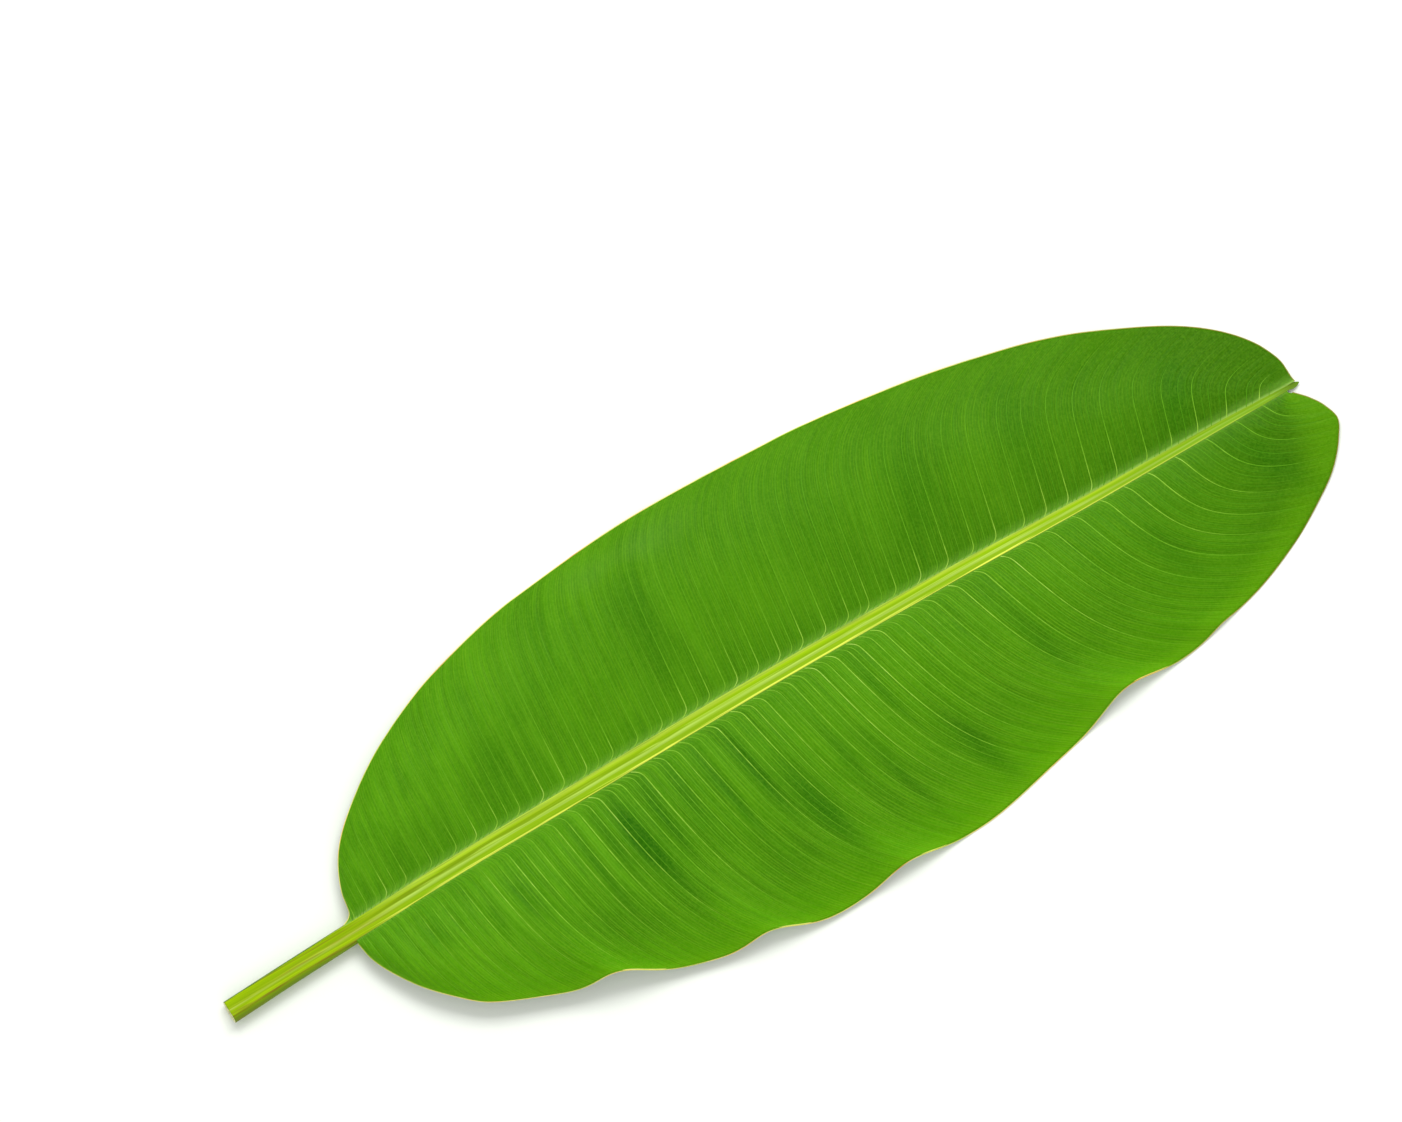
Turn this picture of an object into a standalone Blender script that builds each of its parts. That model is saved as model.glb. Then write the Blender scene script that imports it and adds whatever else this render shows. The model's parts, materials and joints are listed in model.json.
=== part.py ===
"""A banana leaf, cut with a short piece of its stalk and lying face up on a flat surface.

The leaf grew as one piece, so it is one solid: the stalk and the midrib that it runs into, with
the two halves of the blade fused to the midrib's rims. Metres, +Z up. The stalk is at -X, the tip
at +X, and the surface that the leaf lies on is z = 0. The tables below are measured from the place
where the blade begins on the stalk; BLADE_BASE puts that place in the part's own frame, whose
origin is under the middle of the leaf.
"""

import math

import bmesh
import bpy
import numpy as np

BLADE_BASE = (-0.353, 0.0072)  # where the blade begins, from the middle of the whole leaf
STALK_END = -0.111
CUT_SLANT = 0.06  # how far the cut leans outwards, per unit of depth
BLADE_THICKNESS = 0.0009
FLAT_DEPTH = 0.0008  # the midrib is pressed this much flat where it bears on the surface

# Stalk and midrib, from the cut end to the tip. Columns: station along the leaf, sideways place
# of the body's axis, half the distance between the rims of the channel on top, half the body's
# width, half its height, depth of the channel, and the roll of the channel towards +Y in degrees.
MIDRIB = np.array([
    (-0.111, -0.0083, 0.0060, 0.0091, 0.0078, 0.0012, 22),
    (-0.060, -0.0058, 0.0060, 0.0088, 0.0078, 0.0014, 19),
    (0.000, -0.0034, 0.0067, 0.0086, 0.0076, 0.0020, 12),
    (0.100, 0.0009, 0.0068, 0.0080, 0.0070, 0.0024, 6),
    (0.200, 0.0022, 0.0067, 0.0074, 0.0063, 0.0023, 3),
    (0.350, 0.0038, 0.0061, 0.0067, 0.0055, 0.0020, 2),
    (0.500, 0.0022, 0.0054, 0.0059, 0.0047, 0.0016, 2),
    (0.640, -0.0018, 0.0039, 0.0043, 0.0036, 0.0011, 0),
    (0.740, -0.0030, 0.0028, 0.0031, 0.0024, 0.0007, 0),
    (0.798, -0.0044, 0.0015, 0.0018, 0.0012, 0.0003, 0),
])

# Height of the midrib's underside above the surface, by station. It dips below the surface by
# FLAT_DEPTH where the leaf's weight rests on it, and is flattened there.
UNDERSIDE = np.array([
    (-0.111, 0.0000), (-0.030, 0.0011), (0.100, 0.0015), (0.240, 0.0006),
    (0.300, -FLAT_DEPTH), (0.400, -FLAT_DEPTH), (0.460, 0.0006), (0.600, 0.0020),
    (0.740, 0.0032), (0.798, 0.0036),
])

# The withered point past the blade's end: station, half width and half height.
TIP_POINT = ((0.8010, 0.0024, 0.0007), (0.8040, 0.0020, 0.0006), (0.8072, 0.0004, 0.0003))
TIP_DRIFT = -0.0004  # the point leans this much towards -Y

# Lateral veins that fix each half's outline: the station where the vein leaves the midrib, and
# the place on the margin where it ends.
UPPER_VEINS = np.array([
    (-0.001, 0.0002, 0.0068), (0.0025, 0.0036, 0.0110), (0.0052, 0.0062, 0.0260),
    (0.016, 0.0190, 0.0530), (0.040, 0.0460, 0.0795), (0.080, 0.0880, 0.1075),
    (0.130, 0.1460, 0.1320), (0.200, 0.2260, 0.1498), (0.300, 0.3380, 0.1580),
    (0.400, 0.4500, 0.1543), (0.480, 0.5480, 0.1430), (0.560, 0.6320, 0.1255),
    (0.596, 0.6700, 0.1140), (0.628, 0.7040, 0.0998), (0.680, 0.7480, 0.0773),
    (0.718, 0.7780, 0.0543), (0.748, 0.7968, 0.0300), (0.775, 0.8032, 0.0120),
    (0.792, 0.8036, 0.0020), (0.798, 0.8044, -0.0026),
])
LOWER_VEINS = np.array([
    (-0.002, -0.0022, -0.0120), (0.0005, 0.0010, -0.0270), (0.008, 0.0190, -0.0582),
    (0.021, 0.0400, -0.0812), (0.036, 0.0600, -0.0978), (0.066, 0.1000, -0.1158),
    (0.100, 0.1400, -0.1320), (0.152, 0.2000, -0.1498), (0.200, 0.2550, -0.1645),
    (0.255, 0.3200, -0.1726), (0.310, 0.3800, -0.1728), (0.362, 0.4400, -0.1704),
    (0.432, 0.5200, -0.1550), (0.503, 0.5900, -0.1415), (0.543, 0.6320, -0.1383),
    (0.598, 0.7000, -0.1233), (0.643, 0.7450, -0.1055), (0.680, 0.7760, -0.0875),
    (0.712, 0.7960, -0.0730), (0.742, 0.8110, -0.0555), (0.764, 0.8180, -0.0410),
    (0.778, 0.8145, -0.0295), (0.789, 0.8080, -0.0190), (0.796, 0.7990, -0.0092),
])

# Height of each margin above the surface, by station along the leaf, before its waves.
UPPER_EDGE = np.array([
    (0.000, 0.0118), (0.050, 0.0130), (0.130, 0.0060), (0.260, 0.0003), (0.400, 0.0024),
    (0.500, 0.0003), (0.620, 0.0040), (0.720, 0.0008), (0.804, 0.0042),
])
LOWER_EDGE = np.array([
    (-0.002, 0.0138), (0.040, 0.0200), (0.110, 0.0165), (0.210, 0.0100), (0.320, 0.0045),
    (0.440, 0.0003), (0.500, 0.0003), (0.640, 0.0008), (0.720, 0.0003), (0.800, 0.0024),
    (0.818, 0.0046),
])

# Waves of the margins: station, how far the edge draws in, how far it lifts, and half width.
UPPER_WAVES = ((0.340, 0.0, 0.0035, 0.045), (0.560, 0.0, 0.0045, 0.040), (0.690, 0.0, 0.0035, 0.030))
LOWER_WAVES = (
    (0.154, 0.0103, 0.0130, 0.025), (0.266, 0.0092, 0.0110, 0.026),
    (0.380, 0.0082, 0.0120, 0.030), (0.582, 0.0078, 0.0140, 0.030),
    (0.668, 0.0018, 0.0030, 0.014),
)

# Each half of the blade: the sign of its side, its veins, its edge's height and waves, how high it
# arches over the line from rim to margin, where along a vein the arch is highest, the share of a
# vein's forward reach that it covers evenly, and how sharply the rest turns along the margin.
HALVES = {
    "upper": (1, UPPER_VEINS, UPPER_EDGE, UPPER_WAVES, 0.0150, 0.50, 0.36, 8),
    "lower": (-1, LOWER_VEINS, LOWER_EDGE, LOWER_WAVES, 0.0130, 0.44, 0.50, 4),
}
PLEATS = 40  # folds along the lateral veins of each half
PLEAT_DEPTH = 0.0005
ROWS = (0, 0.03, 0.09, 0.18, 0.30, 0.43, 0.56, 0.69, 0.81, 0.91, 1)
STRAIGHT_BASE = 0.08  # a vein bends less, the nearer it is to the blade's base within this share
WAVE_REACH = 2.4  # a wave of the margin dies away towards the midrib by this power
MIDRIB_SIDES = 21
MIDRIB_SECTIONS = 38

LEAF_GREEN = (0.075, 0.270, 0.008, 1)


def smooth(table, column, at):
    """A table's column as a smooth curve through its rows, which never overshoots them."""
    x, y = table[:, 0], table[:, column]
    step = np.diff(x)
    rise = np.diff(y) / step
    slope = np.concatenate([rise[:1], np.zeros(len(x) - 2), rise[-1:]])
    same_way = rise[:-1] * rise[1:] > 0
    weights = step[:-1] + 2 * step[1:], 2 * step[:-1] + step[1:]
    with np.errstate(divide="ignore", invalid="ignore"):
        mean = sum(weights) / (weights[1] / rise[:-1] + weights[0] / rise[1:])
    slope[1:-1] = np.where(same_way, mean, 0)
    at = np.clip(at, x[0], x[-1])
    row = np.clip(np.searchsorted(x, at, side="right") - 1, 0, len(step) - 1)
    h, u = step[row], (at - x[row]) / step[row]
    start = y[row] * (1 + 2 * u) * (1 - u) ** 2 + slope[row] * h * u * (1 - u) ** 2
    return start + y[row + 1] * u * u * (3 - 2 * u) + slope[row + 1] * h * u * u * (u - 1)


def midrib_section(station, sides, widen=None):
    """Points (y, z) round the midrib at a station: down one flank, up the other, and the channel."""
    axis_y, rim, half, tall, channel, roll = (smooth(MIDRIB, i, station) for i in range(1, 7))
    if widen:
        half, tall = widen
        rim, channel = half * 0.9, 0
    roll = math.radians(roll)
    rim_angle = math.acos(rim / half)
    flank_count = sides * 2 // 3
    points = []
    for i in range(flank_count + 1):
        angle = rim_angle - (math.pi + 2 * rim_angle) * i / flank_count
        points.append((half * math.cos(angle), tall * math.sin(angle)))
    rim_height = points[0][1]
    for i in range(1, sides - flank_count):
        across = -rim + 2 * rim * i / (sides - flank_count)
        points.append((across, rim_height - channel * (1 - (across / rim) ** 2) ** 0.7))
    axis_z = smooth(UNDERSIDE, 1, station) + math.hypot(half * math.sin(roll), tall * math.cos(roll))
    turned = []
    for across, up in points:
        y = axis_y + across * math.cos(roll) + up * math.sin(roll)
        z = axis_z - across * math.sin(roll) + up * math.cos(roll)
        turned.append((y, max(z, 0)))
    return turned


def rim_place(station, side, inset):
    """The rim of the channel on one side, moved inwards by a share of the rims' half distance."""
    axis_y, rim, half, tall, channel, roll = (smooth(MIDRIB, i, station) for i in range(1, 7))
    roll = np.radians(roll)
    across = side * rim * (1 - inset)
    up = tall * np.sqrt(1 - (rim / half) ** 2) - channel - BLADE_THICKNESS
    axis_z = smooth(UNDERSIDE, 1, station) + np.hypot(half * np.sin(roll), tall * np.cos(roll))
    y = axis_y + across * np.cos(roll) + up * np.sin(roll)
    z = axis_z - across * np.sin(roll) + up * np.cos(roll)
    return y, z


def along_half(veins):
    """For each row of veins, its share of the way along the half, by midrib and margin together."""
    midrib_steps = np.diff(veins[:, 0])
    margin_steps = np.hypot(np.diff(veins[:, 1]), np.diff(veins[:, 2]))
    way = np.concatenate([[0], np.cumsum(midrib_steps + margin_steps)])
    return way / way[-1]


def blade_points(half, share, out):
    """Places on one half of the blade: share is the way from base to tip, out from rim to margin."""
    side, veins, edge, waves, arch, crest, even, turn = half
    table = np.column_stack([along_half(veins), veins])
    station, margin_x, margin_y = (smooth(table, i, share) for i in (1, 2, 3))
    margin_z = smooth(edge, 1, margin_x)
    lift = 0 * margin_x
    for place, draw_in, rise, spread in waves:
        swell = np.exp(-(((margin_x - place) / spread) ** 2))
        margin_y = margin_y - side * draw_in * swell
        lift = lift + rise * swell
    rim_y, rim_z = rim_place(station, side, inset=0.35)
    bend = (1 - even) * np.clip(share / STRAIGHT_BASE, 0, 1)
    forward = (1 - bend) * out + bend * out**turn
    x = station + (margin_x - station) * forward
    y = rim_y + (margin_y - rim_y) * out
    reach = np.abs(margin_y - rim_y)
    hump = np.sin(math.pi * out ** (math.log(0.5) / math.log(crest)))
    z = rim_z + (margin_z - rim_z) * out + arch * np.clip(reach / 0.12, 0, 1) * hump
    z = z + lift * out**WAVE_REACH
    fold = PLEAT_DEPTH * np.cos(2 * math.pi * PLEATS * share)
    z = z + fold * np.sin(math.pi * np.clip(out, 0, 1)) ** 0.5 * np.clip(reach / 0.06, 0, 1)
    return x + BLADE_BASE[0], y + BLADE_BASE[1], np.maximum(z, BLADE_THICKNESS)


def leaf_material():
    material = bpy.data.materials.new("leaf_green")
    material.use_nodes = True
    shader = material.node_tree.nodes["Principled BSDF"]
    shader.inputs["Base Color"].default_value = LEAF_GREEN
    shader.inputs["Roughness"].default_value = 0.42
    shader.inputs["Metallic"].default_value = 0
    return material


def add_object(name, bm, collection):
    mesh = bpy.data.meshes.new(name)
    bm.to_mesh(mesh)
    bm.free()
    made = bpy.data.objects.new(name, mesh)
    collection.objects.link(made)
    return made


def add_midrib(collection):
    """The stalk and the midrib, lofted through their sections from the cut end to the tip."""
    stations = np.linspace(STALK_END, MIDRIB[-1, 0], MIDRIB_SECTIONS)
    rings = [(x, midrib_section(x, MIDRIB_SIDES)) for x in stations]
    for x, half, tall in TIP_POINT:
        section = midrib_section(MIDRIB[-1, 0], MIDRIB_SIDES, widen=(half, tall))
        rings.append((x, [(y + TIP_DRIFT, z) for y, z in section]))
    bm = bmesh.new()
    loops = []
    for x, section in rings:
        top = max(z for _, z in section)
        slant = CUT_SLANT if x == STALK_END else 0
        loops.append([
            bm.verts.new((x - slant * (top - z) + BLADE_BASE[0], y + BLADE_BASE[1], z))
            for y, z in section
        ])
    for ring, after in zip(loops, loops[1:]):
        for i in range(MIDRIB_SIDES):
            j = (i + 1) % MIDRIB_SIDES
            bm.faces.new((ring[i], ring[j], after[j], after[i]))
    bm.faces.new(loops[0])
    bm.faces.new(loops[-1])
    bmesh.ops.triangulate(bm, faces=bm.faces, quad_method="FIXED")
    bmesh.ops.recalc_face_normals(bm, faces=bm.faces)
    return add_object("banana_leaf", bm, collection)


def add_half(name, half, collection):
    """One half of the blade: a grid whose columns run along the veins, thickened to a sheet."""
    columns = 2 * PLEATS
    bm = bmesh.new()
    bmesh.ops.create_grid(bm, x_segments=columns, y_segments=len(ROWS) - 1, size=0.5)
    for vert in bm.verts:
        share = vert.co.x + 0.5
        out = ROWS[round((vert.co.y + 0.5) * (len(ROWS) - 1))]
        vert.co = [float(v) for v in blade_points(half, np.float64(share), np.float64(out))]
    bmesh.ops.triangulate(bm, faces=bm.faces, quad_method="FIXED")
    doubled = bmesh.ops.extrude_face_region(bm, geom=bm.faces[:])
    underside = [part for part in doubled["geom"] if isinstance(part, bmesh.types.BMVert)]
    bmesh.ops.translate(bm, verts=underside, vec=(0, 0, -BLADE_THICKNESS))
    bmesh.ops.triangulate(bm, faces=bm.faces, quad_method="FIXED")
    bmesh.ops.recalc_face_normals(bm, faces=bm.faces)
    return add_object(name, bm, collection)


def fuse(body, pieces):
    """Joins a collection's objects to the body for good, and removes them."""
    union = body.modifiers.new("fuse", "BOOLEAN")
    union.operation = "UNION"
    union.solver = "EXACT"
    union.operand_type = "COLLECTION"
    union.collection = pieces
    bpy.context.view_layer.update()
    graph = bpy.context.evaluated_depsgraph_get()
    joined = bpy.data.meshes.new_from_object(body.evaluated_get(graph))
    body.modifiers.remove(union)
    body.data = joined
    for piece in list(pieces.objects):
        bpy.data.objects.remove(piece)
    bpy.data.collections.remove(pieces)


def main():
    for old in list(bpy.data.objects):
        bpy.data.objects.remove(old)
    leaf = bpy.data.collections.new("banana_leaf")
    blade = bpy.data.collections.new("blade_halves")
    for collection in (leaf, blade):
        bpy.context.scene.collection.children.link(collection)
    body = add_midrib(leaf)
    for name, half in HALVES.items():
        add_half(f"blade_{name}_half", half, blade)
    fuse(body, blade)
    body.data.materials.clear()
    body.data.materials.append(leaf_material())
    body.data.shade_smooth()
    body.data.set_sharp_from_angle(angle=math.radians(50))


main()
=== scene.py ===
"""Looks of the banana leaf: a cut leaf with a short stalk, lying face up on a white ground.

Lengths are metres in the CAD's own frame: the stalk at -X, the tip at +X, the ground at z = 0. The
tables are measured from the place where the blade begins on the stalk, which BLADE_BASE puts in
that frame.
"""

import json
import math
from functools import partial

import bpy
import numpy as np
from mathutils import Matrix, Vector

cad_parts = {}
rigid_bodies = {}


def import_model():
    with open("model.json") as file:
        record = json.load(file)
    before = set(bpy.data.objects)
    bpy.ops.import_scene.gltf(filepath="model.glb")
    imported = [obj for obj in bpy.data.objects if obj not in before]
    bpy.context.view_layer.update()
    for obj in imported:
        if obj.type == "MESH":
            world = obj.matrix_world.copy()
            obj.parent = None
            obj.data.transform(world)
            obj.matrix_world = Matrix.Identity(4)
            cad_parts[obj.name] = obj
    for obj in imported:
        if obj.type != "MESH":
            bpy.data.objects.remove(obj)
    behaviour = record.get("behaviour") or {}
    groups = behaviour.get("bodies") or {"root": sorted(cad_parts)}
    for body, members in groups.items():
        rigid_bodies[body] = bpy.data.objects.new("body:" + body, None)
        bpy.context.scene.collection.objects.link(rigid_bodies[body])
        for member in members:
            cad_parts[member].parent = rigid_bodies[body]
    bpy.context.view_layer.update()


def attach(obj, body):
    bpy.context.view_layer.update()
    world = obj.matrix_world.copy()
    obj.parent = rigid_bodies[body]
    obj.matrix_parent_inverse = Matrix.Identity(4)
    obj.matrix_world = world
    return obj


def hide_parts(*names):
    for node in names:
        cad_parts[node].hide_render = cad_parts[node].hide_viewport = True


BLADE_BASE = (-0.353, 0.0072)
BLADE_THICKNESS = 0.0006
# The cut through the stalk slopes by this much, about a level at this share of the end's height.
CUT_SLANT = 0.20
CUT_PIVOT = 0.40
# Where the midrib is pressed flat on the ground, its round section would reach this far below it.
FLAT_DEPTH = 0.0008

# Stalk and midrib. Columns: station along the leaf, sideways place of the body's axis, half the
# distance between the rims of the channel on top, half the body's width, half its height, depth of
# the channel, and the roll of the channel towards +Y in degrees.
MIDRIB = np.array([
    (-0.111, -0.0083, 0.0060, 0.0091, 0.0078, 0.0012, 22),
    (-0.060, -0.0058, 0.0060, 0.0088, 0.0078, 0.0014, 19),
    (0.000, -0.0034, 0.0067, 0.0086, 0.0076, 0.0020, 12),
    (0.100, 0.0009, 0.0068, 0.0080, 0.0070, 0.0024, 6),
    (0.200, 0.0022, 0.0067, 0.0074, 0.0063, 0.0023, 3),
    (0.350, 0.0038, 0.0061, 0.0067, 0.0055, 0.0020, 2),
    (0.500, 0.0022, 0.0054, 0.0059, 0.0047, 0.0016, 2),
    (0.640, -0.0018, 0.0039, 0.0043, 0.0036, 0.0011, 0),
    (0.740, -0.0030, 0.0028, 0.0031, 0.0024, 0.0007, 0),
    (0.798, -0.0044, 0.0015, 0.0018, 0.0012, 0.0003, 0),
])
# Height of the midrib's underside at each station.
UNDERSIDE = np.array([
    (-0.111, 0.0000), (-0.030, 0.0011), (0.100, 0.0015), (0.240, 0.0006),
    (0.300, -FLAT_DEPTH), (0.400, -FLAT_DEPTH), (0.460, 0.0006), (0.600, 0.0020),
    (0.740, 0.0027), (0.798, 0.0020),
])
# The withered point past the last section: station, half width and half height, and how far its
# axis lies towards -Y. It is a plain oval, and the channel's rims stand at this share of its width.
TIP_POINT = ((0.8010, 0.0024, 0.0007), (0.8040, 0.0020, 0.0006), (0.8072, 0.0004, 0.0003))
TIP_DRIFT = -0.0004
TIP_RIM_SHARE = 0.9

# Lateral veins: where one leaves the midrib, and the place on the margin where it ends.
UPPER_VEINS = np.array([
    (-0.0055, -0.0050, 0.0046), (-0.0025, -0.0018, 0.0058), (-0.0008, 0.0004, 0.0070),
    (0.0025, 0.0036, 0.0110), (0.0052, 0.0062, 0.0260),
    (0.016, 0.0190, 0.0530), (0.040, 0.0460, 0.0795), (0.080, 0.0880, 0.1075),
    (0.130, 0.1460, 0.1320), (0.200, 0.2260, 0.1498), (0.300, 0.3380, 0.1580),
    (0.400, 0.4500, 0.1543), (0.480, 0.5480, 0.1430), (0.560, 0.6320, 0.1255),
    (0.596, 0.6700, 0.1140), (0.628, 0.7040, 0.0998), (0.680, 0.7480, 0.0773),
    (0.718, 0.7780, 0.0543), (0.748, 0.7968, 0.0300), (0.775, 0.8032, 0.0120),
    (0.792, 0.8036, 0.0020), (0.798, 0.8044, -0.0026),
])
LOWER_VEINS = np.array([
    (-0.002, -0.0022, -0.0120), (0.0005, 0.0010, -0.0270), (0.008, 0.0190, -0.0582),
    (0.021, 0.0400, -0.0812), (0.036, 0.0600, -0.0978), (0.066, 0.1000, -0.1158),
    (0.100, 0.1400, -0.1320), (0.152, 0.2000, -0.1498), (0.200, 0.2550, -0.1645),
    (0.255, 0.3200, -0.1726), (0.310, 0.3800, -0.1728), (0.362, 0.4400, -0.1704),
    (0.432, 0.5200, -0.1550), (0.503, 0.5900, -0.1415), (0.543, 0.6320, -0.1383),
    (0.598, 0.7000, -0.1233), (0.643, 0.7450, -0.1055), (0.680, 0.7760, -0.0875),
    (0.712, 0.7960, -0.0730), (0.742, 0.8110, -0.0555), (0.764, 0.8180, -0.0410),
    (0.778, 0.8145, -0.0295), (0.789, 0.8080, -0.0190), (0.796, 0.7990, -0.0092),
])
# Height of the margin's face at each station.
UPPER_EDGE = np.array([
    (0.000, 0.0118), (0.050, 0.0130), (0.130, 0.0060), (0.260, 0.0003), (0.400, 0.0024),
    (0.500, 0.0003), (0.620, 0.0040), (0.720, 0.0008), (0.804, 0.0042),
])
LOWER_EDGE = np.array([
    (-0.002, 0.0138), (0.040, 0.0200), (0.110, 0.0165), (0.210, 0.0100), (0.320, 0.0045),
    (0.440, 0.0003), (0.500, 0.0003), (0.640, 0.0008), (0.720, 0.0003), (0.800, 0.0024),
    (0.818, 0.0046),
])
# Waves of the margins: station, how far the edge draws in, how far it lifts, and half width.
UPPER_WAVES = ((0.340, 0.0, 0.0035, 0.045), (0.560, 0.0, 0.0045, 0.040), (0.690, 0.0, 0.0035, 0.030))
LOWER_WAVES = (
    (0.154, 0.0103, 0.0130, 0.025), (0.266, 0.0092, 0.0110, 0.026),
    (0.380, 0.0082, 0.0120, 0.030), (0.582, 0.0078, 0.0140, 0.030),
    (0.668, 0.0018, 0.0030, 0.014),
)
# Each half: sign of its side, veins, edge, waves, height of its arch, where along a vein the arch
# is highest, the share of a vein's forward reach that it covers evenly, and how sharply it turns.
HALVES = {
    "upper": (1, UPPER_VEINS, UPPER_EDGE, UPPER_WAVES, 0.0150, 0.50, 0.36, 8),
    "lower": (-1, LOWER_VEINS, LOWER_EDGE, LOWER_WAVES, 0.0130, 0.44, 0.50, 4),
}
# The veins run straight at the base and reach their full bend at this share of the way.
STRAIGHT_BASE = 0.08
# From this share on, over this much of the way, the veins bend until they cover this share evenly.
TIP_FROM = 0.72
TIP_OVER = 0.16
TIP_EVEN = 0.28
# The power by which a wave of the margin dies away towards the midrib.
WAVE_REACH = 2.4
# The arch and the folds have their full height where a half is at least this wide.
ARCH_FULL_WIDTH = 0.12
FOLD_FULL_WIDTH = 0.06
# No part of the face lies lower than this.
LOWEST_FACE = 0.0009
MAIN_VEINS = 40
# Height of the shallow pleats along the main veins of each half.
PLEAT_DEPTH = {1: 0.00016, -1: 0.00066}
# A vein runs this far beside the midrib before it turns out, turns within this width, and has its
# full hook from this share of the way. The hooks shrink over the last part of the way.
HOOKS = {1: (0.007, 0.0030, 0.10), -1: (0.007, 0.0034, 0.30)}
HOOK_FADE = 0.4
# Deeper folds between lateral veins: place, how far the fold leans along the leaf for each metre
# across it, half breadth, half length and strength. A negative strength is a swell.
# The face's colour takes the same folds: painted shade in each fold, and a painted highlight on each
# swell.
FOLDS = {
    1: (
        (0.150, 0.060, -0.08, 0.010, 0.040, 0.35), (0.300, 0.085, -0.08, 0.016, 0.050, 0.45),
        (0.520, 0.070, -0.20, 0.016, 0.045, 0.40), (0.610, 0.075, -0.30, 0.014, 0.040, 0.35),
        (0.720, 0.030, -0.45, 0.014, 0.030, 0.60), (0.220, 0.108, -0.10, 0.034, 0.030, 0.22),
        (0.310, 0.137, 0.0, 0.050, 0.012, -0.25), (0.430, 0.095, -0.12, 0.050, 0.034, 0.14),
    ),
    -1: (
        (0.225, -0.044, 0.12, 0.040, 0.034, 0.14), (0.198, -0.040, 0.12, 0.004, 0.038, 0.50),
        (0.214, -0.050, 0.10, 0.006, 0.026, 0.70), (0.120, -0.046, 0.10, 0.005, 0.022, 0.40),
        (0.098, -0.040, 0.10, 0.004, 0.020, 0.35), (0.425, -0.044, 0.30, 0.004, 0.036, 0.45),
        (0.222, -0.064, 0.18, 0.007, 0.045, 0.80),
        (0.262, -0.036, 0.12, 0.005, 0.034, 0.50), (0.316, -0.050, 0.16, 0.006, 0.046, 0.75),
        (0.344, -0.098, 0.28, 0.010, 0.044, 0.75), (0.378, -0.070, 0.22, 0.006, 0.040, 0.45),
        (0.180, -0.052, 0.12, 0.004, 0.040, 0.50), (0.240, -0.044, 0.12, 0.004, 0.042, 0.60),
        (0.292, -0.060, 0.16, 0.004, 0.046, 0.55), (0.405, -0.100, 0.30, 0.005, 0.046, 0.45),
        (0.466, -0.112, 0.40, 0.009, 0.038, 0.60), (0.545, -0.070, 0.35, 0.008, 0.036, 0.45),
        (0.660, -0.060, 0.50, 0.010, 0.036, 0.35), (0.760, -0.044, 0.60, 0.012, 0.036, 0.55),
    ),
}
FOLD_DEPTH = 0.0006
# The blade leaves the midrib this far below the channel's rim, and this share of the way in.
RIM_DROP = 0.0004
RIM_INSET = 0.03

BLADE_COLUMNS = 840
BLADE_ROWS = 52
MIDRIB_SIDES = 72
MIDRIB_SECTIONS = 420
# Rings inside the cut end: size, and how far in the fresh cut has hollowed.
CUT_RINGS = (
    (0.955, 0.0), (0.90, 0.0003), (0.80, 0.0007), (0.62, 0.0010), (0.42, 0.0012), (0.20, 0.0012),
)
VEIN_STEPS = 44
# The veins from one main one to the next: place between them, half width and paleness.
VEIN_RANKS = (
    (0.0, 0.00033, 1.00), (0.52, 0.00028, 0.70), (0.27, 0.00020, 0.42), (0.77, 0.00020, 0.48),
)
# On the upper half, veins over this half width stand out beside the midrib.
BOLD_VEIN = 0.00025
# For each half: how pale its veins are, and how much of that goes by the time they reach the margin.
VEIN_STRENGTH = {1: 0.44, -1: 0.78}
VEIN_FADING = {1: 0.40, -1: 0.62}
# The height of a vein or a rim to its width, and how far a vein's middle stands above the face.
STRAND_FLATNESS = 0.45
VEIN_LIFT = 0.00006
VEIN_SIDES = 6
RIM_STEPS = 900
RIM_HALF_WIDTH = 0.00060
RIM_SIDES = 8


def smooth(table, column, at):
    """A table's column as a smooth curve through its rows, which never overshoots them."""
    x, y = table[:, 0], table[:, column]
    step = np.diff(x)
    rise = np.diff(y) / step
    slope = np.concatenate([rise[:1], np.zeros(len(x) - 2), rise[-1:]])
    same_way = rise[:-1] * rise[1:] > 0
    weights = step[:-1] + 2 * step[1:], 2 * step[:-1] + step[1:]
    with np.errstate(divide="ignore", invalid="ignore"):
        mean = sum(weights) / (weights[1] / rise[:-1] + weights[0] / rise[1:])
    slope[1:-1] = np.where(same_way, mean, 0)
    at = np.clip(at, x[0], x[-1])
    row = np.clip(np.searchsorted(x, at, side="right") - 1, 0, len(step) - 1)
    h, u = step[row], (at - x[row]) / step[row]
    start = y[row] * (1 + 2 * u) * (1 - u) ** 2 + slope[row] * h * u * (1 - u) ** 2
    return start + y[row + 1] * u * u * (3 - 2 * u) + slope[row + 1] * h * u * u * (u - 1)


def rim_place(station, side):
    """Where the blade leaves the rim of the channel."""
    axis_y, rim, half, tall, _, roll = (smooth(MIDRIB, i, station) for i in range(1, 7))
    roll = np.radians(roll)
    across = side * rim * (1 - RIM_INSET)
    up = tall * np.sqrt(1 - (rim / half) ** 2) - RIM_DROP
    axis_z = smooth(UNDERSIDE, 1, station) + np.hypot(half * np.sin(roll), tall * np.cos(roll))
    y = axis_y + across * np.cos(roll) + up * np.sin(roll)
    z = axis_z - across * np.sin(roll) + up * np.cos(roll)
    return y, z


def along_half(veins):
    """For each row of veins, its share of the way along the half, by midrib and margin together."""
    midrib_steps = np.diff(veins[:, 0])
    margin_steps = np.hypot(np.diff(veins[:, 1]), np.diff(veins[:, 2]))
    way = np.concatenate([[0], np.cumsum(midrib_steps + margin_steps)])
    return way / way[-1]


def vein_phase(share, side):
    """Which main lateral vein a place lies on, as a running number; the spacing is uneven."""
    wander = 0.10 * np.sin(23 * share + side) + 0.06 * np.sin(61 * share + 2 * side)
    return MAIN_VEINS * share + wander + 0.03 * np.sin(149 * share)


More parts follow.
